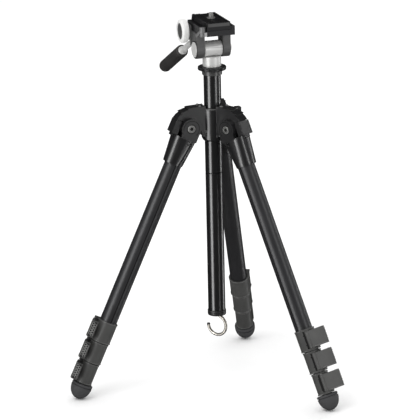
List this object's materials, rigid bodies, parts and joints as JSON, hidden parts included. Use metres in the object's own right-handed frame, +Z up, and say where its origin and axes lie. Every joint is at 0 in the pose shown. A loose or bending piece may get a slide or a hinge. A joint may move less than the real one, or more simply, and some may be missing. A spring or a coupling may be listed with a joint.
{
  "type": "tripod",
  "caption": "Compact four-section flip-lock tripod with a raised centre column, a ballast hook and a two-way pan head with a quick-release camera plate.",
  "frame": {"origin": "on the floor, at the middle of the standing footprint", "axes": "+Z up, +Y along the back leg"},
  "size_m": [0.3514, 0.3108, 0.4843],
  "materials": {
    "black_casting": "gloss black enamel on a casting",
    "gloss_tube": "gloss black anodised tube",
    "anodised_tube": "satin charcoal anodised tube",
    "black_metal": "black anodised, knurled rim",
    "lock_plastic": "fine-textured dark grey moulded plastic",
    "tab_plastic": "semi-gloss black moulded plastic",
    "cap_plastic": "satin black moulded plastic",
    "foot_rubber": "matt dark grey rubber",
    "grip_rubber": "matt black rubber sleeve",
    "bolt_steel": "nickel-plated steel",
    "hook_steel": "polished steel wire",
    "satin_silver": "bright satin aluminium",
    "head_grey": "satin grey paint on a casting",
    "head_black": "satin black paint",
    "plate_black": "black anodised, ribbed sides"
  },
  "bodies": {
    "spider": {"spider": "black_casting"},
    "left_leg": {"left_leg_crown": "black_casting", "left_leg_pivot_bolt": "bolt_steel", "left_leg_tube_1": "anodised_tube", "left_leg_collar_1": "lock_plastic"},
    "left_leg_angle_tab": {"left_leg_angle_tab": "tab_plastic"},
    "left_leg_section_2": {"left_leg_tube_2": "anodised_tube", "left_leg_collar_2": "lock_plastic"},
    "left_leg_section_3": {"left_leg_tube_3": "anodised_tube", "left_leg_collar_3": "lock_plastic"},
    "left_leg_section_4": {"left_leg_tube_4": "anodised_tube", "left_leg_foot": "foot_rubber"},
    "left_leg_lever_1": {"left_leg_lever_1": "lock_plastic"},
    "left_leg_lever_2": {"left_leg_lever_2": "lock_plastic"},
    "left_leg_lever_3": {"left_leg_lever_3": "lock_plastic"},
    "right_leg": {"right_leg_crown": "black_casting", "right_leg_pivot_bolt": "bolt_steel", "right_leg_tube_1": "anodised_tube", "right_leg_collar_1": "lock_plastic"},
    "right_leg_angle_tab": {"right_leg_angle_tab": "tab_plastic"},
    "right_leg_section_2": {"right_leg_tube_2": "anodised_tube", "right_leg_collar_2": "lock_plastic"},
    "right_leg_section_3": {"right_leg_tube_3": "anodised_tube", "right_leg_collar_3": "lock_plastic"},
    "right_leg_section_4": {"right_leg_tube_4": "anodised_tube", "right_leg_foot": "foot_rubber"},
    "right_leg_lever_1": {"right_leg_lever_1": "lock_plastic"},
    "right_leg_lever_2": {"right_leg_lever_2": "lock_plastic"},
    "right_leg_lever_3": {"right_leg_lever_3": "lock_plastic"},
    "back_leg": {"back_leg_crown": "black_casting", "back_leg_pivot_bolt": "bolt_steel", "back_leg_tube_1": "anodised_tube", "back_leg_collar_1": "lock_plastic"},
    "back_leg_angle_tab": {"back_leg_angle_tab": "tab_plastic"},
    "back_leg_section_2": {"back_leg_tube_2": "anodised_tube", "back_leg_collar_2": "lock_plastic"},
    "back_leg_section_3": {"back_leg_tube_3": "anodised_tube", "back_leg_collar_3": "lock_plastic"},
    "back_leg_section_4": {"back_leg_tube_4": "anodised_tube", "back_leg_foot": "foot_rubber"},
    "back_leg_lever_1": {"back_leg_lever_1": "lock_plastic"},
    "back_leg_lever_2": {"back_leg_lever_2": "lock_plastic"},
    "back_leg_lever_3": {"back_leg_lever_3": "lock_plastic"},
    "column": {"column_flange": "black_metal", "column_upper_tube": "gloss_tube", "column_lower_tube": "gloss_tube", "column_end_cap": "cap_plastic"},
    "column_lock_knob": {"column_lock_knob": "cap_plastic"},
    "ballast_hook": {"ballast_hook": "hook_steel"},
    "pan": {"pan_base": "satin_silver", "pan_barrel": "satin_silver"},
    "tilt": {"tilt_yoke": "head_grey", "tilt_axle": "satin_silver", "quick_release_clamp": "head_black"},
    "pan_handle": {"handle_rod": "satin_silver", "handle_grip": "grip_rubber"},
    "side_knob": {"side_knob": "satin_silver"},
    "quick_release_lever": {"quick_release_lever": "head_grey"},
    "quick_release_plate": {"quick_release_plate": "plate_black"},
    "camera_screw": {"camera_screw": "bolt_steel"}
  },
  "joints": [
    {"name": "left_leg_fold", "type": "hinge", "parent": "spider", "child": "left_leg", "pos_m": [-0.03202, -0.06123, 0.34042], "axis": [0.5, -0.866, 0], "range_deg": [0, 24.8]},
    {"name": "left_leg_angle_release", "type": "slide", "parent": "left_leg", "child": "left_leg_angle_tab", "axis": [-0.7862, -0.4539, 0.4195], "range_m": [0, 0.004], "stiffness_N_per_m": 400, "springref_m": -0.004},
    {"name": "left_leg_extend_2", "type": "slide", "parent": "left_leg", "child": "left_leg_section_2", "axis": [-0.3633, -0.2097, -0.9078], "range_m": [0, 0.21]},
    {"name": "left_leg_extend_3", "type": "slide", "parent": "left_leg_section_2", "child": "left_leg_section_3", "axis": [-0.3633, -0.2097, -0.9078], "range_m": [0, 0.235]},
    {"name": "left_leg_extend_4", "type": "slide", "parent": "left_leg_section_3", "child": "left_leg_section_4", "axis": [-0.3633, -0.2097, -0.9078], "range_m": [0, 0.26]},
    {"name": "left_leg_lever_1_flip", "type": "hinge", "parent": "left_leg", "child": "left_leg_lever_1", "pos_m": [-0.14826, -0.11699, 0.09016], "axis": [-0.3633, -0.2097, -0.9078], "range_deg": [0, 110]},
    {"name": "left_leg_lever_2_flip", "type": "hinge", "parent": "left_leg_section_2", "child": "left_leg_lever_2", "pos_m": [-0.15773, -0.1232, 0.06387], "axis": [-0.3633, -0.2097, -0.9078], "range_deg": [0, 110]},
    {"name": "left_leg_lever_3_flip", "type": "hinge", "parent": "left_leg_section_3", "child": "left_leg_lever_3", "pos_m": [-0.16719, -0.1294, 0.03759], "axis": [-0.3633, -0.2097, -0.9078], "range_deg": [0, 110]},
    {"name": "right_leg_fold", "type": "hinge", "parent": "spider", "child": "right_leg", "pos_m": [0.02514, -0.06123, 0.34042], "axis": [0.5, 0.866, 0], "range_deg": [0, 24.8]},
    {"name": "right_leg_angle_release", "type": "slide", "parent": "right_leg", "child": "right_leg_angle_tab", "axis": [0.7862, -0.4539, 0.4195], "range_m": [0, 0.004], "stiffness_N_per_m": 400, "springref_m": -0.004},
    {"name": "right_leg_extend_2", "type": "slide", "parent": "right_leg", "child": "right_leg_section_2", "axis": [0.3633, -0.2097, -0.9078], "range_m": [0, 0.21]},
    {"name": "right_leg_extend_3", "type": "slide", "parent": "right_leg_section_2", "child": "right_leg_section_3", "axis": [0.3633, -0.2097, -0.9078], "range_m": [0, 0.235]},
    {"name": "right_leg_extend_4", "type": "slide", "parent": "right_leg_section_3", "child": "right_leg_section_4", "axis": [0.3633, -0.2097, -0.9078], "range_m": [0, 0.26]},
    {"name": "right_leg_lever_1_flip", "type": "hinge", "parent": "right_leg", "child": "right_leg_lever_1", "pos_m": [0.13155, -0.13402, 0.09016], "axis": [0.3633, -0.2097, -0.9078], "range_deg": [0, 110]},
    {"name": "right_leg_lever_2_flip", "type": "hinge", "parent": "right_leg_section_2", "child": "right_leg_lever_2", "pos_m": [0.14166, -0.13912, 0.06387], "axis": [0.3633, -0.2097, -0.9078], "range_deg": [0, 110]},
    {"name": "right_leg_lever_3_flip", "type": "hinge", "parent": "right_leg_section_3", "child": "right_leg_lever_3", "pos_m": [0.15176, -0.14421, 0.03759], "axis": [0.3633, -0.2097, -0.9078], "range_deg": [0, 110]},
    {"name": "back_leg_fold", "type": "hinge", "parent": "spider", "child": "back_leg", "pos_m": [-0.00344, -0.01173, 0.34042], "axis": [-1, 0, 0], "range_deg": [0, 24.8]},
    {"name": "back_leg_angle_release", "type": "slide", "parent": "back_leg", "child": "back_leg_angle_tab", "axis": [0, 0.9078, 0.4195], "range_m": [0, 0.004], "stiffness_N_per_m": 400, "springref_m": -0.004},
    {"name": "back_leg_extend_2", "type": "slide", "parent": "back_leg", "child": "back_leg_section_2", "axis": [0, 0.4195, -0.9078], "range_m": [0, 0.21]},
    {"name": "back_leg_extend_3", "type": "slide", "parent": "back_leg_section_2", "child": "back_leg_section_3", "axis": [0, 0.4195, -0.9078], "range_m": [0, 0.235]},
    {"name": "back_leg_extend_4", "type": "slide", "parent": "back_leg_section_3", "child": "back_leg_section_4", "axis": [0, 0.4195, -0.9078], "range_m": [0, 0.26]},
    {"name": "back_leg_lever_1_flip", "type": "hinge", "parent": "back_leg", "child": "back_leg_lever_1", "pos_m": [0.00639, 0.11681, 0.09016], "axis": [0, 0.4195, -0.9078], "range_deg": [0, 110]},
    {"name": "back_leg_lever_2_flip", "type": "hinge", "parent": "back_leg_section_2", "child": "back_leg_lever_2", "pos_m": [0.00575, 0.12812, 0.06387], "axis": [0, 0.4195, -0.9078], "range_deg": [0, 110]},
    {"name": "back_leg_lever_3_flip", "type": "hinge", "parent": "back_leg_section_3", "child": "back_leg_lever_3", "pos_m": [0.00511, 0.13942, 0.03759], "axis": [0, 0.4195, -0.9078], "range_deg": [0, 110]},
    {"name": "column_height", "type": "slide", "parent": "spider", "child": "column", "axis": [0, 0, 1], "range_m": [-0.036, 0.2]},
    {"name": "column_lock_turn", "type": "hinge", "parent": "spider", "child": "column_lock_knob", "pos_m": [0.02254, -0.02973, 0.35082], "axis": [0.866, 0.5, 0], "range_deg": [0, 360]},
    {"name": "hook_swivel", "type": "hinge", "parent": "column", "child": "ballast_hook", "pos_m": [-0.00344, -0.04473, 0.08672], "axis": [0, 0, 1], "continuous": true},
    {"name": "pan", "type": "hinge", "parent": "column", "child": "pan", "pos_m": [-0.00344, -0.04473, 0.41872], "axis": [0, 0, 1], "continuous": true},
    {"name": "tilt", "type": "hinge", "parent": "pan", "child": "tilt", "pos_m": [-0.00344, -0.04473, 0.43872], "axis": [-0.866, -0.5, 0], "range_deg": [-90, 35]},
    {"name": "handle_twist", "type": "hinge", "parent": "tilt", "child": "pan_handle", "pos_m": [-0.02418, -0.04285, 0.44982], "axis": [-0.4498, 0.779, -0.4368], "range_deg": [0, 360]},
    {"name": "side_knob_turn", "type": "hinge", "parent": "tilt", "child": "side_knob", "pos_m": [-0.04192, -0.03808, 0.45832], "axis": [-0.866, -0.5, 0], "range_deg": [0, 360]},
    {"name": "quick_release_flip", "type": "hinge", "parent": "tilt", "child": "quick_release_lever", "pos_m": [-0.00775, -0.07747, 0.46672], "axis": [0, 0, 1], "range_deg": [0, 80], "stiffness_Nm_per_rad": 0.05, "springref_deg": -17.19},
    {"name": "plate_slide", "type": "slide", "parent": "tilt", "child": "quick_release_plate", "axis": [0.5, -0.866, 0], "range_m": [0, 0.063]},
    {"name": "camera_screw_turn", "type": "hinge", "parent": "quick_release_plate", "child": "camera_screw", "pos_m": [-0.00344, -0.04473, 0.47472], "axis": [0, 0, 1], "continuous": true}
  ]
}
